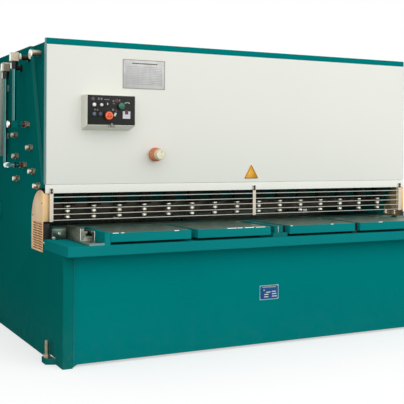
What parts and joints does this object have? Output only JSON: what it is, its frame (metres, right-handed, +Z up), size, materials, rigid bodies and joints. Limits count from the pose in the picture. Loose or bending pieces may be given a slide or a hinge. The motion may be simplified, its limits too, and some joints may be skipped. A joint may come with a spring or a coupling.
{
  "type": "swing beam shear",
  "caption": "Hydraulic swing beam shear: plate side frames, table with support blocks, finger guard, pale front cover with a control box, and a beam that swings at the rear.",
  "frame": {"origin": "on the floor under the middle of the machine's box", "axes": "+X along the blades to the operator's right, +Y from the operator to the back, +Z up"},
  "size_m": [3.628, 2.05, 2.249],
  "materials": {
    "teal_frame": "gloss paint",
    "teal_front": "gloss paint",
    "teal_table": "gloss paint",
    "teal_block": "gloss paint",
    "cream_cover": "satin paint",
    "blade_steel": "ground",
    "machined_steel": "milled",
    "dark_steel": "dark paint",
    "bright_steel": "ground",
    "guard_wire": "drawn",
    "orange_guard": "satin paint",
    "zinc_fittings": "zinc plated",
    "pipe_steel": "zinc plated",
    "grey_box": "satin paint",
    "black_panel": "satin",
    "control_plastic": "moulded",
    "red_button": "moulded",
    "plate_aluminium": "etched",
    "blue_plate": "printed",
    "yellow_sign": "film",
    "dial_plastic": "moulded",
    "bottle_grey": "gloss paint",
    "motor_grey": "cast and painted"
  },
  "bodies": {
    "machine": {"left_side_frame": "teal_frame", "right_side_frame": "teal_frame", "bed_front_plate": "teal_front", "table_plate": "teal_table", "table_block_1": "teal_block", "table_block_2": "teal_block", "table_block_3": "teal_block", "table_block_4": "teal_block", "blade_seat_beam": "teal_frame", "lower_blade": "blade_steel", "squaring_arm": "machined_steel", "center_arm": "teal_table", "end_seats": "machined_steel", "front_cover": "cream_cover", "press_beam": "cream_cover", "top_rail": "teal_front", "left_cover_cheek": "teal_frame", "right_cover_cheek": "teal_frame", "hold_down_cylinders": "dark_steel", "finger_guard": "guard_wire", "left_throat_guard": "orange_guard", "right_throat_guard": "orange_guard", "pivot_shafts": "machined_steel", "left_cylinder": "dark_steel", "left_side_plugs": "zinc_fittings", "left_side_pipes": "pipe_steel", "right_cylinder": "dark_steel", "right_side_plugs": "zinc_fittings", "right_side_pipes": "pipe_steel", "control_box": "grey_box", "control_panel": "black_panel", "panel_controls": "control_plastic", "notice_plate": "plate_aluminium", "name_plate": "blue_plate", "triangle_plate": "yellow_sign", "anchor_lugs": "teal_frame", "levelling_screws": "zinc_fittings", "gas_bottles": "bottle_grey", "tank_shelf": "teal_frame", "pump_motor": "motor_grey", "valve_block": "dark_steel", "oil_tank": "teal_frame", "rear_tie": "teal_frame", "drop_chute": "teal_frame", "rear_guard": "teal_frame", "feed_pipes": "pipe_steel"},
    "swing_beam_body": {"swing_beam": "teal_frame", "upper_blade": "blade_steel", "back_gauge": "machined_steel"},
    "left_ram_body": {"left_ram": "bright_steel"},
    "right_ram_body": {"right_ram": "bright_steel"},
    "hold_downs": {"hold_down_feet": "bright_steel"},
    "estop": {"estop_button": "red_button"},
    "dial": {"dial_knob": "dial_plastic"}
  },
  "joints": [
    {"name": "beam_swing", "type": "hinge", "parent": "machine", "child": "swing_beam_body", "pos_m": [0, 0.795, 0.95], "axis": [1, 0, 0], "range_deg": [0, 4.8]},
    {"name": "left_ram_push", "type": "slide", "parent": "machine", "child": "left_ram_body", "axis": [0, 0, -1], "range_m": [0, 0.08]},
    {"name": "right_ram_push", "type": "slide", "parent": "machine", "child": "right_ram_body", "axis": [0, 0, -1], "range_m": [0, 0.08]},
    {"name": "hold_down_press", "type": "slide", "parent": "machine", "child": "hold_downs", "axis": [0, 0, -1], "range_m": [0, 0.045], "stiffness_N_per_m": 20000, "springref_m": -0.03},
    {"name": "estop_press", "type": "slide", "parent": "machine", "child": "estop", "axis": [0, 1, 0], "range_m": [0, 0.006], "stiffness_N_per_m": 800},
    {"name": "dial_turn", "type": "hinge", "parent": "machine", "child": "dial", "pos_m": [-0.784, -0.475, 1.422], "axis": [0, -1, 0], "range_deg": [-150, 150]}
  ],
  "couplings": [
    {"joint": "left_ram_push", "follows": "beam_swing", "m_per_rad": 0.93},
    {"joint": "right_ram_push", "follows": "beam_swing", "m_per_rad": 0.93}
  ]
}
